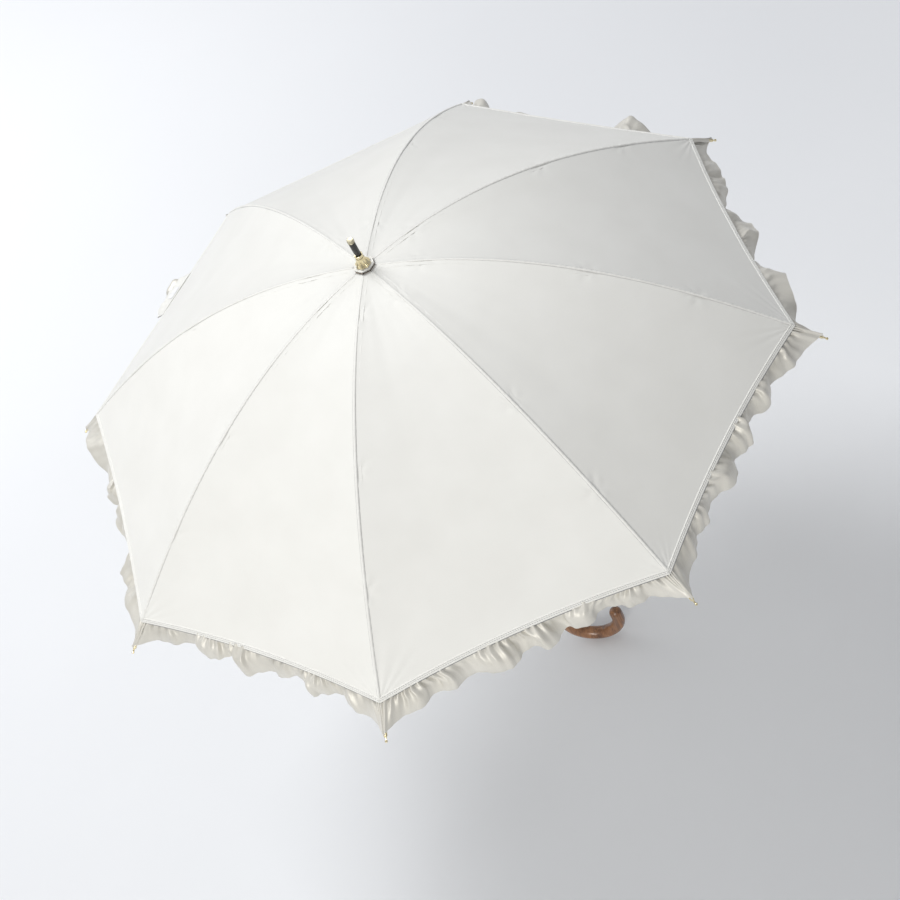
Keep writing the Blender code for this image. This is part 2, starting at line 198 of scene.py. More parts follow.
# ---- the parasol's own dimensions, in metres and degrees, as in its CAD source ----
RIBS = 8
RIB_LENGTH = 0.500
APEX_Z = 0.7675
SLOPE_CROWN, SLOPE_RISE, SLOPE_EASE = -2.0, 77.8, -33.6
HEM_AT = 0.918  # share of the rib's length at the gore's corner
PIVOT_AT = 0.46  # share where the stretcher joins
GORE_START = 0.0125  # share where a gore begins, beneath the crown's washers
HEM_DIP = 0.009  # the hem curves in by this at the middle of a gore
RIB_DROP = 0.0028  # rib's centreline below the cloth's top
CLIP_DROP = 0.0045  # the stretcher's rivet below the rib's centreline
STRAP_GORE = 4  # the gore that carries the name band
STRAP_SIDE = -0.0225  # the band's place along that gore's hem, from its middle
HALF_GORE = math.pi / RIBS
MID = math.cos(HALF_GORE)

# ---- looks ----
CLOTH = 0.00035  # thickness of the cloth
SEAM_GAP = 0.0002  # from a gore's side edge to the middle of the seam
SAG = 0.0035  # how far the cloth sinks between two ribs
FOLDED = 0.095  # share of its width that a gore keeps in the closed parasol
FRILL_FOLDED = 0.066  # the same for the frill, which bunches up between two ribs
HEM_WIDE = 0.0052
FRILL_DEEP = 0.030  # width of the frill that shows
FRILL_IN_SEAM = 0.006  # further width of the frill's cloth, inside the seam
FRILL_TUCK = 0.0030  # from where the frill comes out beneath the hem to the hem's edge
FRILL_FULLNESS = 1.26  # length of the gathered cloth per length of hem
FRILL_EASE = 0.10  # how much less full the frill looks at its free edge
FRILL_SIDE = 0.996  # share of the gore's half width that the frill reaches
TIP_REACH = 0.0305  # from the gore's corner to where the frill is sewn to the tip
FLEX_REACH = 0.035  # share of the rib, to each side of its flex, where pieces bend
BAND_WIDE = 0.066  # the name band's length along the hem
WARP_PITCH, WEFT_PITCH = 0.00042, 0.00036
WAVE_SCALE = 0.31416  # scale of a band texture with one band a metre
LOW_FRILLS = (1, 2, 3, 4, 5)  # gores whose frill stays low beneath the hem, but for its lobes
# where a frill turns up past its hem: distance from the gore's middle, half width, lift
LOBES = {1: [(-0.089, 0.026, 0.001), (0.006, 0.021, -0.005), (0.106, 0.032, -0.003)],
         2: [(-0.070, 0.028, 0.008), (0.130, 0.010, 0.003)],
         4: [(STRAP_SIDE - 0.014, 0.018, 0.013)],
         5: [(-0.112, 0.030, 0.002), (-0.037, 0.011, -0.009), (0.004, 0.014, -0.006),
             (0.096, 0.044, 0.004)]}
SEED = 7

# ---- camera: where it looks and from where ----
AIM = Vector((-0.0063, -0.0265, 0.4730))
DISTANCE = 2.34
AZIMUTH = math.radians(29.875)
ELEVATION = math.radians(49.1715)
ROLL = math.radians(-30.041)
LENS = 82.84

# ---- the rib's curve ----
SHARES = np.linspace(0, 1, 2001)
SLOPES = np.radians(SLOPE_CROWN + SLOPE_RISE * SHARES + SLOPE_EASE * SHARES**2)


def running_sum(values):
    """Integral of values along the rib, by the trapezium rule."""
    step = RIB_LENGTH / (len(SHARES) - 1)
    return np.concatenate([[0.0], np.cumsum((values[1:] + values[:-1]) / 2) * step])


RIB_RADIUS = running_sum(np.cos(SLOPES))
RIB_HEIGHT = APEX_Z - running_sum(np.sin(SLOPES))


def radius_at(share):
    return np.interp(share, SHARES, RIB_RADIUS)


def height_at(share):
    return np.interp(share, SHARES, RIB_HEIGHT)


def slope_at(share):
    return np.interp(share, SHARES, SLOPES)


def rib_point(share, depth):
    """Radius and height of a point that far below the cloth's top, over a rib."""
    angle = slope_at(share)
    return radius_at(share) - np.sin(angle) * depth, height_at(share) - np.cos(angle) * depth


def gore_turn(number):
    return (number - 0.5) * 2 * HALF_GORE


def rib_turn(number):
    return (number - 1) * 2 * HALF_GORE


def turned_about_shaft(points, turn):
    """Points drawn with +X outwards, turned about the shaft."""
    c, s = math.cos(turn), math.sin(turn)
    out = points.copy()
    out[..., 0] = points[..., 0] * c - points[..., 1] * s
    out[..., 1] = points[..., 0] * s + points[..., 1] * c
    return out


def stacked(*coordinates):
    """Points, from grids of their coordinates that are first spread to one shape."""
    return np.stack(np.broadcast_arrays(*coordinates), axis=-1)


def circle(count):
    return np.linspace(0, TAU, count, endpoint=False)


def under_rib(number, share, side, depth):
    """Points that far beneath the cloth's top over a rib, and to the side of the rib's plane."""
    radius, height = rib_point(share, depth)
    return turned_about_shaft(stacked(radius, side, height), rib_turn(number))


# ---- making pieces ----
def linked(name, data):
    obj = bpy.data.objects.new(name, data)
    bpy.context.scene.collection.objects.link(obj)
    return obj


def piece(name, verts, faces, material, smooth=True):
    """A new mesh object with one material."""
    data = bpy.data.meshes.new(name)
    data.from_pydata([tuple(v) for v in verts], [], faces)
    data.materials.append(material)
    data.update()
    data.polygons.foreach_set("use_smooth", [smooth] * len(data.polygons))
    return linked(name, data)


def fix_normals(obj, close_ring=False):
    """Turns every face outwards. close_ring first joins the first and last columns of a
    sheet that goes all the way round, so that it is one closed body."""
    work = bmesh.new()
    work.from_mesh(obj.data)
    if close_ring:
        bmesh.ops.remove_doubles(work, verts=work.verts, dist=0.00001)
        doubled = [f for f in work.faces if all(len(e.link_faces) > 2 for e in f.edges)]
        bmesh.ops.delete(work, geom=doubled, context="FACES")
    bmesh.ops.recalc_face_normals(work, faces=work.faces)
    work.to_mesh(obj.data)
    work.free()
    return obj


def grid_faces(rows, columns, start=0, flip=False, around=False):
    """Quads between neighbouring rows, closed round each row if around."""
    faces = []
    for r in range(rows - 1):
        for c in range(columns if around else columns - 1):
            d = (c + 1) % columns
            a, b = start + r * columns + c, start + r * columns + d
            face = (a, a + columns, b + columns, b)
            faces.append(face[::-1] if flip else face)
    return faces


def grid_normals(grid):
    """Unit normals of a grid of points, from its own differences."""
    normals = np.cross(np.gradient(grid, axis=1), -np.gradient(grid, axis=0))
    lengths = np.linalg.norm(normals, axis=2, keepdims=True)
    return normals / np.maximum(lengths, 1e-12)


def set_uv(obj, uv):
    """Cloth coordinates in metres, one for each vertex."""
    layer = obj.data.uv_layers.new(name="cloth")
    index = np.zeros(len(obj.data.loops), np.int32)
    obj.data.loops.foreach_get("vertex_index", index)
    layer.data.foreach_set("uv", uv.reshape(-1, 2)[index].astype(np.float32).ravel())


def cloth_shell(name, top, normals, uv, material, thick=CLOTH, thick_rows=None):
    """A thin closed sheet: the top grid, the same grid lowered, and a rim round both.
    thick_rows adds to the thickness, row by row, half of it above the top."""
    rows, columns = top.shape[:2]
    thickness = np.full((rows, columns, 1), thick)
    lift = np.zeros((rows, columns, 1))
    if thick_rows is not None:
        thickness += thick_rows[:, None, None]
        lift += thick_rows[:, None, None] / 2
    upper = top + normals * lift
    lower = top - normals * (thickness - lift)
    verts = np.concatenate([upper.reshape(-1, 3), lower.reshape(-1, 3)])
    count = rows * columns
    faces = grid_faces(rows, columns) + grid_faces(rows, columns, count, flip=True)
    edge = list(range(columns))
    edge += [r * columns + columns - 1 for r in range(1, rows)]
    edge += [(rows - 1) * columns + c for c in range(columns - 2, -1, -1)]
    edge += [r * columns for r in range(rows - 2, 0, -1)]
    for a, b in zip(edge, edge[1:] + edge[:1]):
        faces.append((a, b, b + count, a + count))
    obj = piece(name, verts, faces, material)
    set_uv(obj, np.concatenate([uv.reshape(-1, 2)] * 2))
    both = np.concatenate([normals.reshape(-1, 3), -normals.reshape(-1, 3)])
    obj.data.normals_split_custom_set_from_vertices([tuple(n) for n in both])
    return obj


def sweep(name, rings, material, smooth=True):
    """A closed solid through rings of points, (rings, points, 3), each ring going round."""
    rows, columns = rings.shape[:2]
    faces = grid_faces(rows, columns, around=True)
    faces.append(tuple(range(columns)))
    faces.append(tuple(range((rows - 1) * columns, rows * columns))[::-1])
    return fix_normals(piece(name, rings.reshape(-1, 3), faces, material, smooth))


def sharp_by_angle(obj, degrees):
    obj.data.set_sharp_from_angle(angle=math.radians(degrees))
    return obj


def dress(obj, body, slot, *nodes):
    """The piece moves with a body, has a slot's look, and stands in for any CAD nodes named."""
    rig.ride(obj, body)
    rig.slot(obj, slot)
    if nodes:
        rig.replaces(obj, *nodes)


# ---- materials ----
class Nodes:
    """A material's node tree, with short ways to add and join nodes."""

    def __init__(self, name):
        self.material = bpy.data.materials.new(name)
        self.material.use_nodes = True
        self.tree = self.material.node_tree

    def feed(self, node, inputs):
        """Sets a node's inputs: each to a value, or to what another node gives."""
        for key, value in inputs.items():
            if isinstance(value, bpy.types.NodeSocket):
                self.tree.links.new(value, node.inputs[key])
            else:
                node.inputs[key].default_value = value

    def add(self, kind, inputs=None, **settings):
        node = self.tree.nodes.new("ShaderNode" + kind)
        for key, value in settings.items():
            setattr(node, key, value)
        self.feed(node, inputs or {})
        return node

    def own_place(self):
        """The object's own coordinates, in metres."""
        return self.add("TexCoord").outputs["Object"]

    def noise(self, place, scale, detail=2.0, distortion=0.0):
        inputs = {"Vector": place, "Scale": scale, "Detail": detail, "Distortion": distortion}
        return self.add("TexNoise", inputs).outputs["Fac"]

    def ramp(self, source, low, high, low_at=0.0, high_at=1.0):
        """A colour that runs from low to high as source goes from low_at to high_at."""
        node = self.add("ValToRGB", {0: source})
        ends = node.color_ramp.elements
        ends[0].position, ends[1].position = low_at, high_at
        ends[0].color, ends[1].color = (*low, 1), (*high, 1)
        return node.outputs["Color"]

    def spread(self, source, low, high):
        """A source from 0 to 1, spread between low and high."""
        node = self.add("MapRange", {"Value": source, "To Min": low, "To Max": high})
        return node.outputs["Result"]

    def math(self, operation, a, b):
        return self.add("Math", {0: a, 1: b}, operation=operation).outputs[0]

    def mix(self, a, share, b):
        b = self.math("MULTIPLY", b, 1 - share)
        return self.math("ADD", self.math("MULTIPLY", a, share), b)

    def bump(self, height, strength, distance, below=None):
        inputs = {"Height": height, "Strength": strength, "Distance": distance}
        if below is not None:
            inputs["Normal"] = below
        return self.add("Bump", inputs).outputs["Normal"]

    def finish(self, inputs):
        """Feeds the shader, and gives the finished material."""
        self.feed(self.tree.nodes["Principled BSDF"], inputs)
        return self.material


def cloth_material(name, light, shade, roughness, sheen, gloss=0.0):
    """Fine satin-like weave: crossed threads in the cloth's own coordinates, soft mottling."""
    n = Nodes(name)
    place = n.add("UVMap", uv_map="cloth").outputs["UV"]
    threads = []
    for turn, pitch in ((0.0, WARP_PITCH), (math.pi / 2, WEFT_PITCH)):
        turned = n.add("Mapping", {"Vector": place, "Rotation": (0, 0, turn)})
        wave = n.add("TexWave", {"Vector": turned.outputs["Vector"], "Scale": WAVE_SCALE / pitch,
                                 "Distortion": 0.4, "Detail": 0.0},
                     wave_type="BANDS", bands_direction="X", wave_profile="SIN")
        threads.append(wave.outputs["Fac"])
    slubs = n.noise(place, 900.0)
    mottle = n.noise(place, 14.0, 3.0)
    uneven = n.bump(mottle, 0.12, 0.002)
    return n.finish({
        "Base Color": n.ramp(n.mix(mottle, 0.75, slubs), shade, light, 0.38, 0.62),
        "Roughness": n.spread(slubs, roughness - 0.05, roughness + 0.06),
        "Normal": n.bump(n.math("MULTIPLY", *threads), 0.25, 0.00008, uneven),
        "Metallic": gloss,
        "Sheen Weight": sheen,
        "Sheen Roughness": 0.35,
        "Specular IOR Level": 0.35,
    })


def metal_material(name, light, dark, roughness, metallic=1.0):
    """Plated or enamelled metal with fine wear in its gloss and faint handling marks."""
    n = Nodes(name)
    wear = n.noise(n.own_place(), 260.0, 4.0)
    return n.finish({
        "Base Color": n.ramp(wear, dark, light, 0.30, 0.60),
        "Roughness": n.spread(wear, max(roughness - 0.06, 0.03), roughness + 0.10),
        "Normal": n.bump(wear, 0.15, 0.0001),
        "Metallic": metallic,
    })


def wood_material(name):
    """Lacquered hardwood: grain rings stretched along the handle, under a clear coat."""
    n = Nodes(name)
    mapping = n.add("Mapping", {"Vector": n.own_place(), "Scale": (1.0, 1.0, 0.08)})
    place = mapping.outputs["Vector"]
    grain = n.noise(place, 320.0, 6.0, 0.6)
    mixed = n.mix(grain, 0.6, n.noise(place, 60.0))
    return n.finish({
        "Base Color": n.ramp(mixed, (0.085, 0.032, 0.012), (0.34, 0.155, 0.062), 0.36, 0.64),
        "Normal": n.bump(grain, 0.15, 0.0002),
        "Roughness": 0.38,
        "Coat Weight": 0.6,
        "Coat Roughness": 0.12,
    })


def plastic_material(name, colour, roughness):
    """Moulded plastic, with a fine mottle in its colour and surface."""
    n = Nodes(name)
    grain = n.noise(n.own_place(), 900.0)
    lighter = tuple(c * 1.6 + 0.004 for c in colour)
    return n.finish({
        "Base Color": n.ramp(grain, colour, lighter, 0.35, 0.7),
        "Normal": n.bump(grain, 0.1, 0.0001),
        "Roughness": roughness,
    })


IVORY = cloth_material("ivory_satin", (0.865, 0.857, 0.818), (0.835, 0.826, 0.786), 0.52, 0.25)
# The frill and corner pleats are the canopy's cloth, painted darker and warmer than IVORY: painted shade for the shade
# they lie in beneath the hem.
FRILL = cloth_material("frill_satin", (0.765, 0.742, 0.682), (0.68, 0.655, 0.59), 0.41, 0.20,
                       gloss=0.22)
# Dark grey: in the hem's stitches it is partly the thread's own colour and partly painted shade in the hem's grooves;
# in the cord beneath the hem it is painted shade.
THREAD_AND_SHADE = cloth_material("thread_and_painted_shade", (0.29, 0.29, 0.295), (0.24, 0.24, 0.245), 0.6, 0.1)
# Pale grey, darker than the cloth: partly the seams' stitching and partly painted shade for the thin dark lines beside
# each seam.
PALE_THREAD_AND_SHADE = cloth_material("pale_thread_and_shade", (0.66, 0.66, 0.655), (0.58, 0.58, 0.58), 0.6, 0.1)
TIE = cloth_material("tie_thread", (0.80, 0.79, 0.75), (0.72, 0.71, 0.67), 0.6, 0.3)
LABEL = cloth_material("woven_label", (0.90, 0.90, 0.90), (0.86, 0.86, 0.87), 0.5, 0.1)
GOLD = metal_material("gold_plate", (0.88, 0.78, 0.52), (0.68, 0.57, 0.33), 0.20)
SATIN_GOLD = metal_material("satin_gold", (0.60, 0.555, 0.42), (0.48, 0.44, 0.32), 0.42)
# Dark brown for the plate beneath the crown's washer: painted shade, whose rim shows as the washer's shadow on the
# canopy.
SHADOW_PLATE = metal_material("painted_shadow_rim", (0.34, 0.26, 0.20), (0.22, 0.16, 0.12), 0.35)
STEEL = metal_material("bright_steel", (0.70, 0.70, 0.70), (0.50, 0.50, 0.50), 0.28)
BLACK_RIB = metal_material("black_enamel", (0.035, 0.035, 0.037), (0.018, 0.018, 0.02), 0.32,
                           metallic=0.0)
DARK_SHAFT = metal_material("dark_enamel", (0.06, 0.052, 0.045), (0.035, 0.03, 0.027), 0.25,
                            metallic=0.3)
BLACK = plastic_material("black_plastic", (0.018, 0.018, 0.018), 0.30)
WOOD = wood_material("lacquered_wood")


# ---- the canopy's surface ----
def hem_share(across):
    """Share of the rib's length at the hem, for a place from -1 to 1 across the gore."""
    return HEM_AT - HEM_DIP / RIB_LENGTH * (1 - across**2)


def half_width(share):
    return radius_at(share) * math.sin(HALF_GORE) - SEAM_GAP


def panel_normals(share):
    """Outward normals of the flat chords between two ribs, with +X through the gore's middle."""
    angle = slope_at(share)
    rise, run = np.sin(angle), np.cos(angle) * MID
    length = np.hypot(rise, run)
    return stacked(rise / length, 0.0, run / length)


def smooth_step(x):
    x = np.clip(x, 0, 1)
    return x * x * (3 - 2 * x)


def relief(share, across, seed):
    """How far the cloth stands off its chords: it sinks between the ribs, puckers along the
    seams and where it is tied to a rib, and creases towards the hem's corners."""
    along = share * RIB_LENGTH
    side = (1 - np.abs(across)) * half_width(share)      # distance from the seam
    which = np.sign(across)
    sink = -SAG * (1 - across**2) * np.sin(np.pi * np.clip(share / HEM_AT, 0, 1)) ** 0.8
    # small waves where the seam's thread draws the cloth in
    phase = seed * 1.7 + which * 2.1
    seam = np.sin(along / 0.0085 * TAU + phase + 1.3 * np.sin(along / 0.031 + phase))
    out = sink + 0.00012 * seam * np.exp(-side / 0.006)
    # ties to the rib: a dimple with short creases round it
    for place, depth in ((0.125, 0.0009), (PIVOT_AT + 0.005, 0.0011), (0.70, 0.0008)):
        down = along - place * RIB_LENGTH
        far = np.hypot(down, side)
        turn = np.arctan2(down, side + 1e-9)
        out = out - depth * np.exp(-((far / 0.0065) ** 2))
        creases = np.cos(5 * turn + seed + which)
        out = out + 0.00030 * creases * np.exp(-((far - 0.010) ** 2) / 0.006**2)
    # fan of creases that run into each corner of the hem
    down = (HEM_AT * RIB_LENGTH) - along
    far = np.hypot(down, side)
    turn = np.arctan2(side, np.maximum(down, 1e-6))      # 0 along the seam
    reach = 0.034 + 0.016 * np.sin(seed * 2.3 + which)
    strength = np.exp(-((far / reach) ** 1.6)) * smooth_step(far / 0.012)
    fan = np.sin(turn * 17 + seed * 3.1 + which + 0.7 * np.sin(turn * 6 + seed))
    out = out + (0.00036 * fan * strength * smooth_step(turn / 0.10)
                 * smooth_step((1.25 - turn) / 0.3))
    # long faint undulations, which the folded cloth shows as soft pleats
    waves = np.sin(across * 8.4 + seed) * 0.6 + np.sin(across * 15.1 + 2.2 * seed) * 0.4
    out = out + 0.00016 * waves * smooth_step(side / 0.02) * smooth_step(share / 0.2)
    return out


def gore_grid(shares, across, number):
    """Points on a gore's cloth, with +X through the gore's middle."""
    chords = stacked(radius_at(shares) * MID, across * half_width(shares), height_at(shares))
    return chords + panel_normals(shares) * relief(shares, across, number)[..., None]


def crowded(count, power=1.8):
    """Places from -1 to 1, closer together towards both ends."""
    t = np.linspace(-1, 1, count)
    return np.sign(t) * (1 - (1 - np.abs(t)) ** power)


def cloth_uv(shares, across):
    return stacked(across * half_width(shares), shares * RIB_LENGTH)


def squash_gore(obj, number, joint, keep=FOLDED):
    """The gore or frill narrows towards its own middle as the parasol closes."""
    turn = gore_turn(number)
    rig.squash(obj, joint, axis=(-math.sin(turn), math.cos(turn), 0),
              anchor=(0, 0, APEX_Z), keep=keep)


def join_skirt(obj, number, slot, keep=FOLDED):
    """A piece on the lower length of a gore: it turns and narrows with that length."""
    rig.ride(obj, f"skirt_{number}")
    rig.slot(obj, slot)
    squash_gore(obj, number, f"skirt_fold_{number}", keep)
    return obj


def gore(number):
    """One gore in two lengths that meet on its fold line, where the lower length also
    laps a little way behind the upper one, so that no slit opens as the gore folds."""
    across = crowded(81)[None, :]
    upper = GORE_START + (PIVOT_AT - GORE_START) * np.linspace(0, 1, 60)[:, None] + 0 * across
    lower_rows = (1 - (1 - np.linspace(0, 1, 84)) ** 1.35)[:, None]
    lower = PIVOT_AT + (hem_share(across) - PIVOT_AT) * lower_rows
    whole = np.concatenate([upper[:-1], lower])
    points = turned_about_shaft(gore_grid(whole, across, number), gore_turn(number))
    normals = grid_normals(points)
    uv = cloth_uv(whole, across)
    split = len(upper) - 1
    top = slice(0, split + 1)
    inner = cloth_shell(f"gore_upper_{number}", points[top], normals[top], uv[top], IVORY)
    dress(inner, f"gore_{number}", "canopy_cloth", f"gore_{number}")
    squash_gore(inner, number, f"gore_fold_{number}")
    rows = [split - 1, split, *range(split, len(whole))]     # the first two are the lap
    low = points[rows]
    low[:2] -= normals[rows[:2]] * (CLOTH + SEAM_GAP)
    outer = cloth_shell(f"gore_lower_{number}", low, normals[rows], uv[rows], IVORY)
    join_skirt(outer, number, "canopy_cloth")
    return inner, outer


def crown_patch(number):
    """A small reinforcing patch beneath a gore's point, held at the crown, which bends
    down with the gore and covers the notch when the parasol is closed."""
    turn = gore_turn(number)
    reach = np.linspace(0.0065, 0.0150, 16)[:, None]
    wide = np.minimum(reach * math.tan(HALF_GORE) - 0.0001, 0.0040)
    side = np.linspace(-1, 1, 11) * wide
    height = height_at(np.interp(reach, RIB_RADIUS, SHARES)) - (CLOTH + 0.0005)
    points = turned_about_shaft(stacked(reach * MID, side, height), turn)
    obj = cloth_shell(f"crown_patch_{number}", points, grid_normals(points),
                      stacked(side, reach), IVORY)
    ends = [(r * math.cos(turn), r * math.sin(turn), APEX_Z) for r in (0.0075, 0.0105)]
    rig.blend(obj, "shaft", f"gore_{number}", start=ends[0], end=ends[1])
    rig.slot(obj, "canopy_cloth")
    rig.sheet(obj, flat=(0.0100, 0.0100), held="stretched", rests_on=[f"gore_{number}"],
             area=0.000066)


def declare_gore(obj, number, first, last, sewn_on):
    """The flat triangle or trapezium that this length of the gore is cut to."""
    long = (last - first) * RIB_LENGTH
    wide = 2 * half_width(last)
    narrow = 2 * max(half_width(first), 0.003)
    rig.sheet(obj, flat=(wide, long), held="stretched",
             rests_on=[f"rib_inner_{number}", f"rib_outer_{number}"],
             area=long * (wide + narrow) / 2, with_pieces=sewn_on)


# ---- beside a rib ----
def beside_rib(number, share, side, lift):
    """Points on the cloth at a distance to one side of a rib's seam, raised by lift."""
    angle = slope_at(share)
    points = stacked(
        radius_at(share) - np.abs(side) * math.sin(HALF_GORE) + np.sin(angle) * lift,
        side * MID,
        height_at(share) + np.cos(angle) * lift,
    )
    return turned_about_shaft(points, rib_turn(number))


def over_rib_flex(obj, number, slot):
    """The piece follows the rib's inner length, then bends to its outer length."""
    shares = np.array([PIVOT_AT - FLEX_REACH, PIVOT_AT + FLEX_REACH])
    start, end = under_rib(number, shares, 0.0, RIB_DROP).tolist()
    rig.blend(obj, f"rib_inner_{number}", f"rib_outer_{number}", start=start, end=end)
    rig.slot(obj, slot)
    return obj


def seam(number):
    """The felled seam over a rib: a narrow raised band that puckers along its threads."""
    shares = np.linspace(0.026, HEM_AT - 0.6 * HEM_WIDE / RIB_LENGTH, 360)[:, None]
    grown = smooth_step((shares - 0.03) / 0.45)
    half, high = 0.00130 + 0.00050 * grown, 0.00022 + 0.00053 * grown
    along = shares * RIB_LENGTH
    pucker = (1 + 0.22 * np.sin(along / 0.0052 * TAU + number)
              + 0.15 * np.sin(along / 0.0137 * TAU + 2 * number))
    side = np.array([-1, -0.92, -0.74, -0.4, 0, 0.4, 0.74, 0.92, 1, 0.5, 0, -0.5]) * half
    lift = np.array([-0.6, 0.25, 0.85, 1.0, 1.06, 1.0, 0.85, 0.25, -0.6, -0.7, -0.7, -0.7])
    lift = lift * high * np.where(lift > 0.3, pucker, 1)
    uv = stacked(side, along)
    made = [sweep(f"seam_{number}", beside_rib(number, shares, side, lift), IVORY)]
    set_uv(made[0], uv)
    around = circle(6)
    radius = 0.00014 * grown + 0.00001
    # Pale grey threads along both edges of the band: stitching, and painted shade for the thin dark lines beside the
    # seam.
    for name, edge in (("left", -1), ("right", 1)):
        rings = beside_rib(number, shares, edge * (half + 0.00016) + radius * np.cos(around),
                           0.00004 + radius * np.sin(around))
        made.append(sweep(f"seam_thread_{name}_{number}", rings, PALE_THREAD_AND_SHADE))
        set_uv(made[-1], uv[:, :len(around)])
    return [over_rib_flex(obj, number, "canopy_cloth") for obj in made]


def seam_tape(number):
    """The cloth tape that backs a seam on the inside, where it fills the closed canopy's folds."""
    wide, under, thin = 0.0062, 0.00060, 0.00025
    shares = np.linspace(0.030, HEM_AT - 0.010, 240)[:, None]
    half = np.minimum(wide, radius_at(shares) * 0.30)
    across = np.linspace(-1, 1, 13)[None, :]
    wave = 0.00010 * np.sin(shares * RIB_LENGTH / 0.017 * TAU + number) * np.abs(across)
    side = np.concatenate([across * half, across[:, ::-1] * half], axis=1)
    lift = np.concatenate([-under + wave, -under - thin + wave[:, ::-1]], axis=1)
    obj = sweep(f"seam_tape_{number}", beside_rib(number, shares, side, lift), IVORY)
    set_uv(sharp_by_angle(obj, 60), stacked(side, shares * RIB_LENGTH))
    return over_rib_flex(obj, number, "canopy_cloth")


def rib_bar(number):
    """A fluted steel rib: a channel, open below, that runs from the notch to the tip."""
    half, wall, top, bottom = 0.00140, 0.00045, 0.00150, 0.00400
    shares = np.linspace(0.0175, 1 - 0.0088 / RIB_LENGTH, 180)[:, None]
    side = np.array([-half, -half * 0.8, half * 0.8, half, half, half - wall, half - wall,
                     -half + wall, -half + wall, -half])
    depth = np.array([top + wall, top, top, top + wall, bottom, bottom, top + wall,
                      top + wall, bottom, bottom])
    obj = sweep(f"rib_bar_{number}", under_rib(number, shares, side, depth), BLACK_RIB)
    over_rib_flex(sharp_by_angle(obj, 35), number, "black_rib")
    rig.replaces(obj, f"rib_inner_{number}", f"rib_outer_{number}")


def corner_tongue(number):
    """The strip over the rib where two frills meet. It closes round the rib's tip."""
    first, last = HEM_AT - 0.013, 0.9845
    wide, point = 0.0060, 0.0020
    down = np.linspace(0, 1, 40)[:, None]
    across = np.linspace(-1, 1, 33)[None, :]
    shares = first + (last - first) * down
    half = point + (wide - point) * (1 - down) ** 0.9
    pleat = np.abs(np.sin((across * 2.0 + 0.12 * math.sin(number * 1.9)) * math.pi)) - 0.5
    rise = smooth_step((down - 0.12) / 0.2)
    deep = (0.0016 * (1 - down) + 0.0003) * smooth_step(down / 0.15)
    wrap = smooth_step((down - 0.35) / 0.5) * 0.0024 * across**2
    lift = -0.00125 + 0.00125 * rise + pleat * deep - wrap
    lift = lift - 0.16 * np.abs(across) * half * rise
    points = beside_rib(number, shares, across * half, lift)
    obj = cloth_shell(f"corner_pleats_{number}", points, grid_normals(points),
                      stacked(across * half, shares * RIB_LENGTH), FRILL)
    dress(obj, f"rib_outer_{number}", "frill_cloth")
    return obj


# ---- the hem ----
def hem(number):
    """The bound edge of a gore: three rolled ridges with a row of stitches between each two."""
    across = crowded(181, 1.3)[:, None]
    along = np.linspace(-HEM_WIDE, 0.0, 25)
    ridges = 0.00062 * np.abs(np.sin((along / HEM_WIDE + 1) * 3 * math.pi)) ** 0.55 + 0.00010
    under_along = [0.00045, 0.00055, 0.0003, -0.0008, -HEM_WIDE * 0.6, -HEM_WIDE]
    under_lift = [-0.0001, -0.0005, -0.0010, -0.00125, -0.0008, -0.0006]
    along = np.concatenate([along, under_along])
    lift = np.concatenate([ridges, under_lift])[:, None]
    shares = hem_share(across) + along / RIB_LENGTH
    rings = gore_grid(shares, across, number) + panel_normals(shares) * lift
    obj = sweep(f"hem_{number}", turned_about_shaft(rings, gore_turn(number)), IVORY)
    set_uv(obj, cloth_uv(shares, across))
    join_skirt(obj, number, "canopy_cloth")
    rows = [stitches(f"hem_stitches_{number}_{row}", number, place)
            for row, place in ((1, -HEM_WIDE * 2 / 3), (2, -HEM_WIDE / 3))]
    return [obj, shadow_line_cord(number), *rows]


def shadow_line_cord(number):
    """A dark grey twisted cord beneath the hem's edge: painted shade, for the fine dark line of the shadow between the
    hem and the frill.
    """
    pitch, under = 0.0011, 0.00135
    across, around = np.linspace(-1, 1, 700), circle(8)
    shares = hem_share(across) + 0.0009 / RIB_LENGTH
    along = (across * half_width(HEM_AT))[:, None]
    radius = (0.00052 + 0.00012 * np.cos(2 * around + along / pitch * TAU))[..., None]
    normal = panel_normals(shares)
    down = np.cross(normal, [0, 1, 0])[:, None]
    normal = normal[:, None]
    rings = gore_grid(shares, across, number)[:, None] - normal * under
    rings = rings + radius * (np.cos(around)[:, None] * down + np.sin(around)[:, None] * normal)
    obj = sweep(f"hem_shadow_cord_{number}", turned_about_shaft(rings, gore_turn(number)), THREAD_AND_SHADE)
    set_uv(obj, stacked(along, around * 0.0003))
    return join_skirt(obj, number, "canopy_cloth")


def stitches(name, number, place):
    """A row of short raised threads that lie in one of the hem's grooves."""
    pitch, long, thick = 0.0026, 0.00215, 0.00028
    per, stations = 6, np.linspace(-1, 1, 5)
    half = half_width(HEM_AT)
    count = int(2 * half / pitch)
    middles = (np.arange(count) + 0.5) / count * 2 - 1
    rings = []
    for station in stations:
        across = middles + station * long / 2 / half
        shares = hem_share(across) + place / RIB_LENGTH
        centre, normal = gore_grid(shares, across, number), panel_normals(shares)
        down = np.cross(normal, [0, 1, 0])
        size = thick * math.sqrt(max(1 - station**2, 0.06))
        for k in range(per):
            angle = k * math.pi / 3
            rings.append(centre + normal * (0.00016 + size * math.sin(angle))
                         + down * size * math.cos(angle))
    verts = turned_about_shaft(np.stack(rings, axis=1), gore_turn(number)).reshape(-1, 3)
    faces = []
    for first in range(0, len(verts), len(rings)):
        last = first + len(rings) - per
        faces += grid_faces(len(stations), per, first, around=True)
        faces.append(tuple(range(first, first + per)))
        faces.append(tuple(range(last, last + per))[::-1])
    # The stitches' dark grey is partly the thread's own colour and partly painted shade for the hem's grooves.
    obj = fix_normals(piece(name, verts, faces, THREAD_AND_SHADE))
    set_uv(obj, verts[:, :2])
    return join_skirt(obj, number, "canopy_cloth")


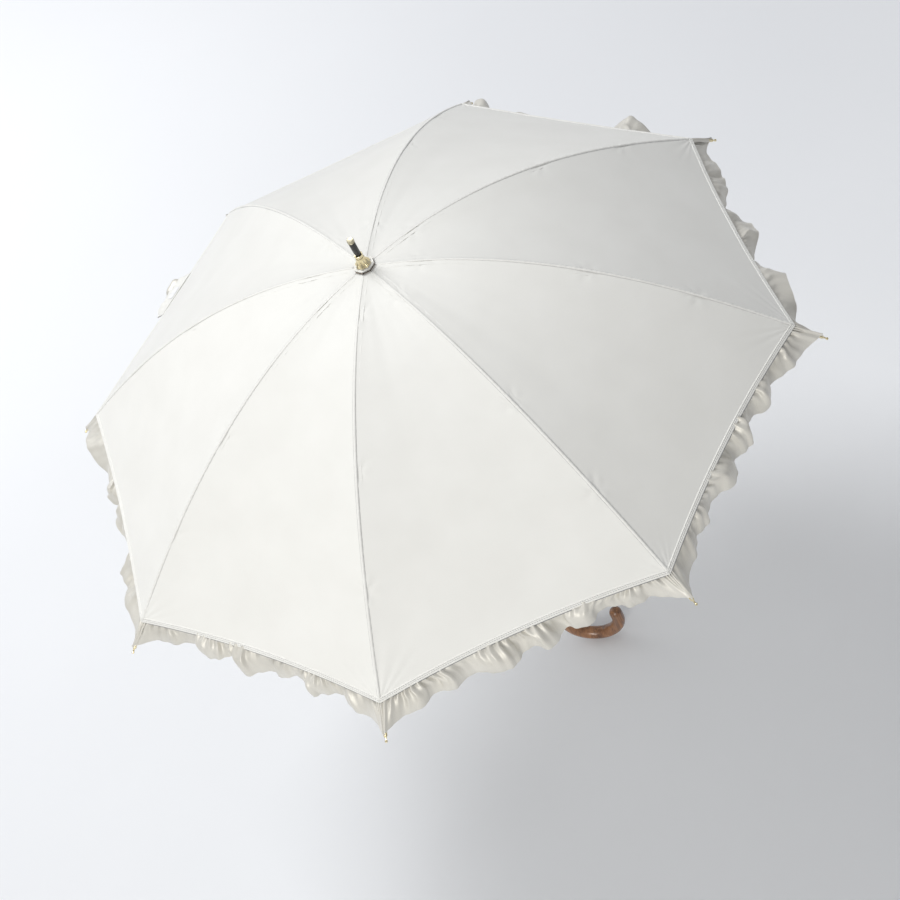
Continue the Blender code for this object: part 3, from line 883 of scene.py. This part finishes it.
# ---- the frill ----
def fold_phase(draw, length, count):
    """Phase and strength of the frill's folds along its cloth: narrow folds by the ribs and
    broad, uneven ones between them. Ridges are narrow and the valleys between them broad."""
    widths = [0.50, 0.75]
    while sum(widths) < 4.9:
        widths.append(draw.uniform(0.60, 1.55))
    widths += [0.75, 0.50]
    strengths = [0.5, 0.7] + [draw.uniform(0.55, 1.25) for _ in widths[4:]] + [0.7, 0.5]
    ends = np.concatenate([[0], np.cumsum(widths)])
    ends = ends / ends[-1] * length
    middles = (ends[1:] + ends[:-1]) / 2
    u = np.linspace(0, length, count)
    turns = np.interp(u, ends, np.arange(len(ends)))
    turns = turns - 0.30 * np.sin(TAU * turns) / TAU         # narrows the ridges
    return TAU * turns, np.interp(u, middles, strengths)


def gathered_row(u, bend, target):
    """Across and up along one row of cloth whose angle follows bend, scaled so that the row
    spans the target width."""
    step = u[1] - u[0]

    def run(values):
        return np.concatenate([[0], np.cumsum((values[1:] + values[:-1]) / 2) * step])

    low, high = 0.0, 3.0
    for _ in range(26):
        scale = (low + high) / 2
        if run(np.cos(scale * bend))[-1] > target:
            low = scale
        else:
            high = scale
    across, up = run(np.cos(scale * bend)), run(np.sin(scale * bend))
    return across - across[-1] / 2, up - up[-1] * np.linspace(0, 1, len(u))


def turned_up(number, x):
    """Where a frill turns up past its hem, from 0 to 1, and by how much it rises there."""
    turned, rise = 0.0 * x, 0.0 * x
    for lobe_at, lobe_half, lift in LOBES.get(number, []):
        lobe = np.exp(-(((x - lobe_at) / lobe_half) ** 4))
        turned, rise = turned + lobe, rise + lift * lobe
    return turned, rise


def frill(number, corner):
    """The gathered frill beneath a gore's hem: fine gathers where it is sewn, which run
    together into broad folds at its rolled free edge."""
    draw = random.Random(SEED * 100 + number)
    count, gather_pitch, crease_pitch = 620, 0.0110, 0.0145
    half = half_width(HEM_AT) * FRILL_SIDE
    length = 2 * half * FRILL_FULLNESS
    u = np.linspace(0, length, count)
    by_rib = np.exp(-((np.minimum(u, length - u) / FRILL_FULLNESS / 0.020) ** 2))
    big, strength = fold_phase(draw, length, count)
    drift = [draw.uniform(0, 6.28) for _ in range(4)]
    fine = TAU * u / gather_pitch + 1.5 * np.sin(u / 0.031 + drift[0])
    fine_strength = 0.8 + 0.35 * np.sin(u / 0.023 + drift[1])
    rows = np.concatenate([np.linspace(0, 0.2, 8)[:-1], np.linspace(0.2, 0.93, 17),
                           [0.955, 0.975, 0.99, 1.0]])
    middle_radius = radius_at(HEM_AT) * MID
    grid = np.zeros((len(rows), count, 3))
    for r, t in enumerate(rows):
        swell = (smooth_step(t / 0.55) * 0.86 + 0.14 * t) * (1 - 0.8 * by_rib)
        lean = 1.1 * t * np.sin(u / 0.047 + drift[2])
        folds = np.tanh(1.7 * np.sin(big + lean)) + 0.40 * np.sin(2.6 * big + drift[1] + 2 * lean)
        bend = (0.20 + swell) * strength * folds
        gathers = (1.0 - smooth_step(t / 0.85)) * (1 - by_rib) + 1.1 * by_rib
        pinched = np.tanh(2.0 * np.sin(fine + 0.8 * t * np.sin(u / 0.019)))
        creased = TAU * u / crease_pitch + 1.6 * np.sin(u / 0.037 + drift[3])
        creased = np.tanh(2.5 * np.sin(creased + 1.5 * t * np.sin(u / 0.021 + drift[1])))
        bend = bend + 0.42 * swell * fine_strength * creased
        bend = bend + gathers * 1.05 * fine_strength * pinched
        eased = u * (1 - FRILL_EASE * t)
        x, up = gathered_row(eased, bend, 2 * half)
        up = up - np.mean(up) * 0.9 + 0.0042 * t * np.sin(x / 0.025 + drift[2])
        side = half - np.abs(x)                  # distance from the rib
        pull = np.exp(-((side / 0.026) ** 2))    # how far the rib's tip draws the cloth in
        turned, rise = turned_up(number, x)
        droop = smooth_step(side / 0.035) * (1 - 1.2 * turned)
        if number in LOW_FRILLS:
            up = np.where(up > 0, (0.45 + 0.35 * turned) * up, up)
        if number == STRAP_GORE:
            up = up - (up + 0.004 * t) * np.exp(-(((x - STRAP_SIDE) / 0.036) ** 4))
        up = up * (1 - 0.2 * turned) + rise * smooth_step((t - 0.45) / 0.50)
        up = up * (1 - pull * (0.15 + 0.35 * t))
        uneven = 0.0018 * np.sin(x / 0.029 + drift[3]) + 0.0014 * np.sin(x / 0.013 + drift[0])
        middle_deep = (FRILL_DEEP + uneven) * (0.86 + 0.14 * smooth_step(side / 0.07))
        deep = middle_deep + (TIP_REACH + 0.0025 - middle_deep) * pull
        first_slope = slope_at(0.95) + 0.12 * droop
        last_slope = slope_at(0.95) + 0.90 * droop
        angle = first_slope + (last_slope - first_slope) * t / 2
        tilt = first_slope + (last_slope - first_slope) * t
        out, fall = deep * t * np.cos(angle), deep * t * np.sin(angle)
        share = hem_share(np.clip(x / half, -1, 1)) - FRILL_TUCK / RIB_LENGTH
        low = -0.0026 + 0.0019 * pull * smooth_step(t / 0.3)
        x = np.sign(x) * (half - side * (1 - 0.75 * t * pull))
        grid[r, :, 0] = (radius_at(share) * MID + low * np.sin(slope_at(share)) + out
                         + up * np.sin(tilt))
        grid[r, :, 1] = x * (1 + out / middle_radius)
        grid[r, :, 2] = (height_at(share) + low * np.cos(slope_at(share)) - fall
                         + up * np.cos(tilt))
    points = turned_about_shaft(grid, gore_turn(number))
    uv = stacked(u, rows[:, None] * FRILL_DEEP)
    roll = 0.00065 * smooth_step((rows - 0.93) / 0.03)
    roll = roll * (1 - 0.5 * smooth_step((rows - 0.98) / 0.02))
    obj = cloth_shell(f"frill_gathered_{number}", points, grid_normals(points), uv, FRILL,
                      thick_rows=roll)
    join_skirt(obj, number, "frill_cloth", FRILL_FOLDED)
    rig.replaces(obj, f"frill_{number}")
    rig.sheet(obj, flat=(length, FRILL_DEEP + FRILL_IN_SEAM), held="gathered",
             rests_on=[f"hem_{number}"], with_pieces=[corner])


# ---- crown, washer and ferrule ----
def turned_piece(name, profile, base, material, slot, node, sharp, count=48, scallop=None):
    """A piece turned about the shaft that stands in for a CAD node. profile gives its radius
    and height above the base, and scallop may change them round the shaft."""
    angles = circle(count)
    radius, height = (np.array(values)[:, None] + 0 * angles for values in zip(*profile))
    if scallop:
        radius, height = scallop(radius, height, angles)
    rings = stacked(radius * np.cos(angles), radius * np.sin(angles), height + base)
    dress(sharp_by_angle(sweep(name, rings, material), sharp), "shaft", slot, node)


def octagon(angles):
    """Radius of a regular octagon, with its corners on the ribs' seams, per unit corner."""
    inside = np.mod(angles + HALF_GORE, 2 * HALF_GORE) - HALF_GORE
    return math.cos(HALF_GORE) / np.cos(HALF_GORE - np.abs(inside))


def crown():
    """A gold cup folded into eight facets, which flares out over the cloth washer."""
    profile = [(0.0005, 0.0195), (0.0043, 0.0195), (0.0046, 0.0191), (0.0046, 0.0168),
               (0.0040, 0.0163), (0.0040, 0.0155), (0.0046, 0.0150), (0.0046, 0.0138),
               (0.0048, 0.0122), (0.0052, 0.0104), (0.0058, 0.0086), (0.0066, 0.0068),
               (0.0078, 0.0050), (0.0080, 0.0043), (0.0005, 0.0043)]

    def facets(radius, height, angles):
        weight = smooth_step((radius - 0.0045) / 0.0014) * (height < 0.0148)
        turn = np.mod(angles, 2 * HALF_GORE) / (2 * HALF_GORE)
        ridge = np.abs(turn - 0.5) * 2
        crimp = 0.22 * (ridge - 0.5) + 0.02 * np.cos(3 * angles + 1)
        return radius * (1 + crimp * weight), height + 0.0008 * (ridge - 0.5) * weight

    turned_piece("crown_cup", profile, APEX_Z, GOLD, "gold_plate", "crown_cap", 28, 128, facets)


def washer():
    """An eight-sided cloth washer under the cup, on a dark brown plate above the canopy whose rim, showing round the
    washer, is painted shade for its shadow on the cloth.
    """
    hole = 0.0046
    angles = np.linspace(0, TAU, 129)[None, :]
    out = np.linspace(0, 1, 14)[:, None]
    wave = 0.5 + 0.5 * np.sin(5 * angles + 0.8) * np.cos(3 * angles)
    for name, corner, low, curl, thick, material, slot, nodes in (
            ("washer_lower", 0.0118, 0.0019, 0.0001, 0.0009, SHADOW_PLATE, "gold_plate", []),
            ("washer_upper", 0.0115, 0.0033, 0.0003, 0.0013, IVORY, "canopy_cloth",
             ["crown_rosette"])):
        radius = hole + (corner * octagon(angles) - hole) * out
        rise = curl * (0.6 + 0.8 * wave) * out**3
        height = APEX_Z + low + rise + 0.00008 * np.sin(24 * angles) * out**2
        grid = stacked(radius * np.cos(angles), radius * np.sin(angles), height)
        normals = grid_normals(grid)
        normals *= np.sign(normals[..., 2:3])
        obj = cloth_shell(name, grid, normals, grid[..., :2], material, thick)
        dress(fix_normals(obj, close_ring=True), "shaft", slot, *nodes)


def ferrule():
    """The black sleeve, and the gold button on top."""
    sleeve = [(0.0005, 0.0198), (0.0033, 0.0198), (0.0035, 0.0202), (0.0035, 0.0365),
              (0.0034, 0.0372), (0.0031, 0.0375), (0.0005, 0.0375)]
    turned_piece("ferrule_tube", sleeve, APEX_Z, BLACK, "black_plastic", "ferrule_sleeve", 40)
    button = [(0.0005, 0.0378), (0.0034, 0.0378), (0.0037, 0.0381), (0.0037, 0.0388),
              (0.0035, 0.0391), (0.0038, 0.0395), (0.0038, 0.0416), (0.0036, 0.0423),
              (0.0033, 0.0425), (0.0024, 0.0424), (0.0012, 0.0423), (0.0003, 0.0423)]
    turned_piece("ferrule_button", button, APEX_Z, SATIN_GOLD, "gold_plate", "ferrule_cap", 40)


# ---- the handle ----
CROOK_R, GRIP_R, HANDLE_TOP_Z, CROOK_END = 0.035, 0.0085, 0.222, 0.018


def crook():
    """A bent wooden crook: it swells a little in the bend and ends in a rounded nose."""
    straight = HANDLE_TOP_Z - (GRIP_R + CROOK_R)
    bend = math.pi * CROOK_R
    total = straight + bend + CROOK_END
    nose = GRIP_R * 0.9
    places = np.concatenate([np.linspace(0, total - nose, 150),
                             total - nose * (1 - np.sin(np.linspace(0.08, 1, 10) * math.pi / 2))])
    bent = np.clip((places - straight) / CROOK_R, 0, math.pi)[:, None]
    level = -np.minimum(places, straight) + np.maximum(places - straight - bend, 0)
    swell = 0.955 + 0.045 * np.sin(np.minimum(places / total, 1) * math.pi)
    left = np.clip((total - places) / nose, 0, 1)
    radius = GRIP_R * swell * np.sqrt(np.maximum(1 - (1 - left) ** 2, 0.0004))
    side, inward = (radius[:, None] * turn(circle(48)) for turn in (np.cos, np.sin))
    rings = stacked(CROOK_R * (1 - np.cos(bent)) - inward * np.cos(bent), side,
                    HANDLE_TOP_Z + level[:, None] - (CROOK_R + inward) * np.sin(bent))
    dress(sweep("crook_handle", rings, WOOD), "shaft", "handle_wood", "handle")


def collar():
    """A turned gold ferrule with two bead rings at the top of the handle."""
    profile = [(0.0043, 0.0003), (0.0088, 0.0003), (0.0096, 0.0008), (0.0098, 0.0016),
               (0.0096, 0.0024), (0.0090, 0.0029), (0.0090, 0.0036), (0.0094, 0.0042),
               (0.0094, 0.0085), (0.0089, 0.0092), (0.0084, 0.0098), (0.0086, 0.0106),
               (0.0083, 0.0114), (0.0074, 0.0124), (0.0066, 0.0130), (0.0043, 0.0130)]
    turned_piece("handle_ferrule", profile, HANDLE_TOP_Z, GOLD, "gold_plate", "handle_collar",
                 45, 64)


# ---- the name band ----
def smooth_path(points, count):
    """Points spaced evenly along a Catmull-Rom curve through the given ones."""
    pts = np.array(points, float)
    pts = np.concatenate([[2 * pts[0] - pts[1]], pts, [2 * pts[-1] - pts[-2]]])
    t = np.linspace(0, 1, 40, endpoint=False)[:, None]
    fine = [0.5 * (2 * b + (c - a) * t + (2 * a - 5 * b + 4 * c - d) * t**2
                   + (3 * b - a - 3 * c + d) * t**3)
            for a, b, c, d in zip(pts, pts[1:], pts[2:], pts[3:])]
    fine = np.concatenate(fine + [pts[-2:-1]])
    far = np.concatenate([[0], np.cumsum(np.linalg.norm(np.diff(fine, axis=0), axis=1))])
    even = np.linspace(0, far[-1], count)
    return stacked(*(np.interp(even, far, values) for values in fine.T))


def at_band(out, up, side):
    """A point by the name band's place on the hem: out along the cloth's slope, up from it."""
    share = float(hem_share(STRAP_SIDE / half_width(HEM_AT)))
    angle = float(slope_at(share))
    radius = radius_at(share) * MID + out * math.cos(angle) + up * math.sin(angle)
    height = height_at(share) - out * math.sin(angle) + up * math.cos(angle)
    return stacked(radius, STRAP_SIDE + side, height)


def name_band():
    """A folded band of the canopy's cloth along the hem, with a small blank label."""
    route = [(-0.0050, 0.0008), (0.0000, 0.0024), (0.0055, 0.0046), (0.0105, 0.0068),
             (0.0140, 0.0066), (0.0135, 0.0042), (0.0090, 0.0024), (0.0045, 0.0008),
             (0.0010, 0.0002), (-0.0030, 0.0001)]
    line = smooth_path(route, 90)
    foot = (0.0010, 0.0004)
    across = np.linspace(-1, 1, 61)[None, :]
    place = np.linspace(0, 1, len(line))[:, None]
    swell = 0.30 + 0.70 * (1 - across**4)
    puff = 0.0005 * np.sin(across * 9 + place * 5) + 0.0004 * np.sin(across * 21 - place * 3)
    out = foot[0] + (line[:, 0:1] - foot[0]) * (0.75 + 0.25 * swell)
    up = foot[1] + (line[:, 1:2] - foot[1]) * swell + puff * np.sin(place * math.pi) ** 2
    side = across * BAND_WIDE / 2
    grid = turned_about_shaft(at_band(out, up, side), gore_turn(STRAP_GORE))
    middle = grid[:, across.size // 2]
    long = float(np.sum(np.linalg.norm(np.diff(middle, axis=0), axis=1)))
    uv = stacked(side, place * long)
    normals = grid_normals(grid)
    band = cloth_shell("name_band", grid, normals, uv, IVORY, 0.0005)
    on_band = slice(7, 26), slice(21, 38)
    on_top = (grid + normals * 0.0004)[on_band]
    label = cloth_shell("name_band_label", on_top, normals[on_band], uv[on_band], LABEL, 0.0003)
    for obj in (band, label):
        join_skirt(obj, STRAP_GORE, "band_cloth")
    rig.replaces(band, "tie_strap")
    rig.sheet(band, flat=(BAND_WIDE, long), held="folded", rests_on=[f"hem_{STRAP_GORE}"],
             with_pieces=[label])


# ---- joints of the frame: clips, rivets and ties ----
def rod(name, start, end, radius, material):
    """A short round pin with rounded edges, between two points."""
    a, b = Vector(start), Vector(end)
    axis = (b - a).normalized()
    side = axis.orthogonal().normalized()
    up = axis.cross(side)
    edge = radius * 0.25
    stations = [(0, radius - edge), (edge * 0.3, radius - edge * 0.3), (edge, radius)]
    long = (b - a).length
    stations += [(long - at, r) for at, r in reversed(stations)]
    rings = [[a + axis * at + (side * math.cos(t) + up * math.sin(t)) * r for t in circle(16)]
             for at, r in stations]
    return sweep(name, np.array(rings, float), material)


def rib_clip(number):
    """A saddle pressed round the rib, with the rivet that the stretcher turns on."""
    half, inner = 0.0022, 0.0016
    top, low = 0.0027, RIB_DROP + CLIP_DROP + 0.0015
    floor, below = 0.0042, 0.0048
    side = np.array([-half, -inner, -inner, inner, inner, half, half, inner, inner, -inner,
                     -inner, -half])
    depth = np.array([top, top, floor, floor, top, top, low, low, below, below, low, low])
    along = np.array([-0.0048, -0.0040, 0.0040, 0.0048])[:, None]
    ends_at = low - np.where(np.abs(along) > 0.0045, 0.0006, 0.0)
    rings = under_rib(number, PIVOT_AT + along / RIB_LENGTH, side, np.minimum(depth, ends_at))
    obj = sweep(f"rib_clip_{number}", rings, BLACK_RIB, smooth=False)
    dress(obj, f"rib_inner_{number}", "black_rib")
    ends = under_rib(number, PIVOT_AT, np.array([-0.0031, 0.0031]), RIB_DROP + CLIP_DROP)
    dress(rod(f"rib_rivet_{number}", *ends, 0.0010, STEEL), f"rib_inner_{number}", "bright_wire")


def thread_tie(number, length, share):
    """A few turns of thread that tie the cloth to the rib's inner or outer length."""
    centre_radius, centre_height = rib_point(share, RIB_DROP - 0.0001)
    angle = float(slope_at(share))
    along, around = np.linspace(-0.0012, 0.0012, 13)[:, None], circle(20)
    thick = 0.00185 + 0.00018 * np.abs(np.cos(along / 0.0008 * math.pi))
    wide, deep = thick * np.cos(around), thick * np.sin(around)
    radius = centre_radius + along * math.cos(angle) + deep * math.sin(angle)
    height = centre_height - along * math.sin(angle) + deep * math.cos(angle)
    rings = turned_about_shaft(stacked(radius, wide, height), rib_turn(number))
    obj = sweep(f"tie_{length}_{int(share * 1000)}_{number}", rings, TIE)
    set_uv(obj, np.array([(v.co.x, v.co.z) for v in obj.data.vertices]))
    dress(obj, f"rib_{length}_{number}", "canopy_cloth")


# ---- pieces that keep their CAD shape ----
def finish_cad_nodes():
    """Gives materials and smooth shading to the CAD's own pieces that stay in sight."""
    looks = {"shaft_tube": DARK_SHAFT, "top_notch": BLACK, "runner": BLACK,
             "upper_catch": STEEL, "lower_catch": STEEL}
    for number in range(1, RIBS + 1):
        looks[f"rib_tip_{number}"] = GOLD
        looks[f"stretcher_{number}"] = BLACK_RIB
    for node, material in looks.items():
        data = frame["nodes"][node].data
        data.materials.clear()
        data.materials.append(material)
        data.polygons.foreach_set("use_smooth", [True] * len(data.polygons))
        data.set_sharp_from_angle(angle=math.radians(40))


for n in range(1, RIBS + 1):
    inner, outer = gore(n)
    declare_gore(outer, n, PIVOT_AT, HEM_AT, hem(n))
    frill(n, corner_tongue(n))
    crown_patch(n)
    declare_gore(inner, n, 0.0, PIVOT_AT, [*seam(n), seam_tape(n)])
    rib_bar(n)
    rib_clip(n)
    for length, share in (("inner", 0.125), ("inner", 0.30), ("outer", 0.60), ("outer", 0.76)):
        thread_tie(n, length, share)
name_band()
crown()
washer()
ferrule()
crook()
collar()
finish_cad_nodes()


# ---- floor, light and camera ----
def floor():
    """A wide pale floor just below the crook."""
    bpy.ops.mesh.primitive_plane_add(size=14, location=(0, 0, -0.002))
    obj = bpy.context.object
    obj.name = "studio_floor"
    n = Nodes("pale_floor")
    mottle = n.ramp(n.noise(n.own_place(), 3.0), (0.80, 0.81, 0.83), (0.83, 0.84, 0.86))
    obj.data.materials.append(n.finish({"Base Color": mottle, "Roughness": 0.9}))
    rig.stage(obj)


def area_light(name, azimuth, elevation, size, power, colour, aim=(0, 0, 0.6), distance=3.2):
    """A square soft light that far from its aim, in a direction given in degrees."""
    data = bpy.data.lights.new(name, "AREA")
    data.size = size
    data.energy = power
    data.color = colour
    obj = linked(name, data)
    across, rise = math.radians(azimuth), math.radians(elevation)
    back = Vector((math.cos(across) * math.cos(rise), math.sin(across) * math.cos(rise),
                   math.sin(rise)))
    obj.location = Vector(aim) + back * distance
    obj.rotation_euler = back.to_track_quat("Z", "Y").to_euler()


def studio():
    """An even pale room, a high key light, a low fill, and a wash on the floor behind."""
    scene = bpy.context.scene
    scene.view_settings.view_transform = "Standard"
    world = bpy.data.worlds.new("studio")
    world.use_nodes = True
    air = world.node_tree.nodes["Background"].inputs
    air["Color"].default_value = (0.95, 0.965, 1.0, 1)
    air["Strength"].default_value = 0.40
    scene.world = world
    area_light("key", 140, 60, 1.4, 66, (0.98, 0.99, 1.0))
    area_light("fill", 270, 20, 1.4, 42, (1.0, 0.985, 0.94))
    area_light("floor_wash", 90, 90, 1.5, 10, (1, 1, 1), aim=(-1.9, 1.1, 0), distance=1.3)


def camera():
    """The camera, which looks down on the canopy and leans to one side."""
    back = Vector((math.sin(AZIMUTH) * math.cos(ELEVATION),
                   -math.cos(AZIMUTH) * math.cos(ELEVATION), math.sin(ELEVATION)))
    data = bpy.data.cameras.new("camera")
    data.lens = LENS
    data.sensor_width = 36.0
    obj = linked("camera", data)
    level = Vector((math.cos(AZIMUTH), math.sin(AZIMUTH), 0))
    right = level * math.cos(ROLL) + back.cross(level) * math.sin(ROLL)
    up = back.cross(right)
    turn = Matrix((right, up, back)).transposed()
    obj.matrix_world = Matrix.Translation(AIM + back * DISTANCE) @ turn.to_4x4()
    bpy.context.scene.camera = obj


floor()
studio()
camera()

low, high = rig.bounds()
with open("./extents.json", "w") as out:
    json.dump([[list(CAD_BOX[0]), list(CAD_BOX[1])], [list(low), list(high)]], out)
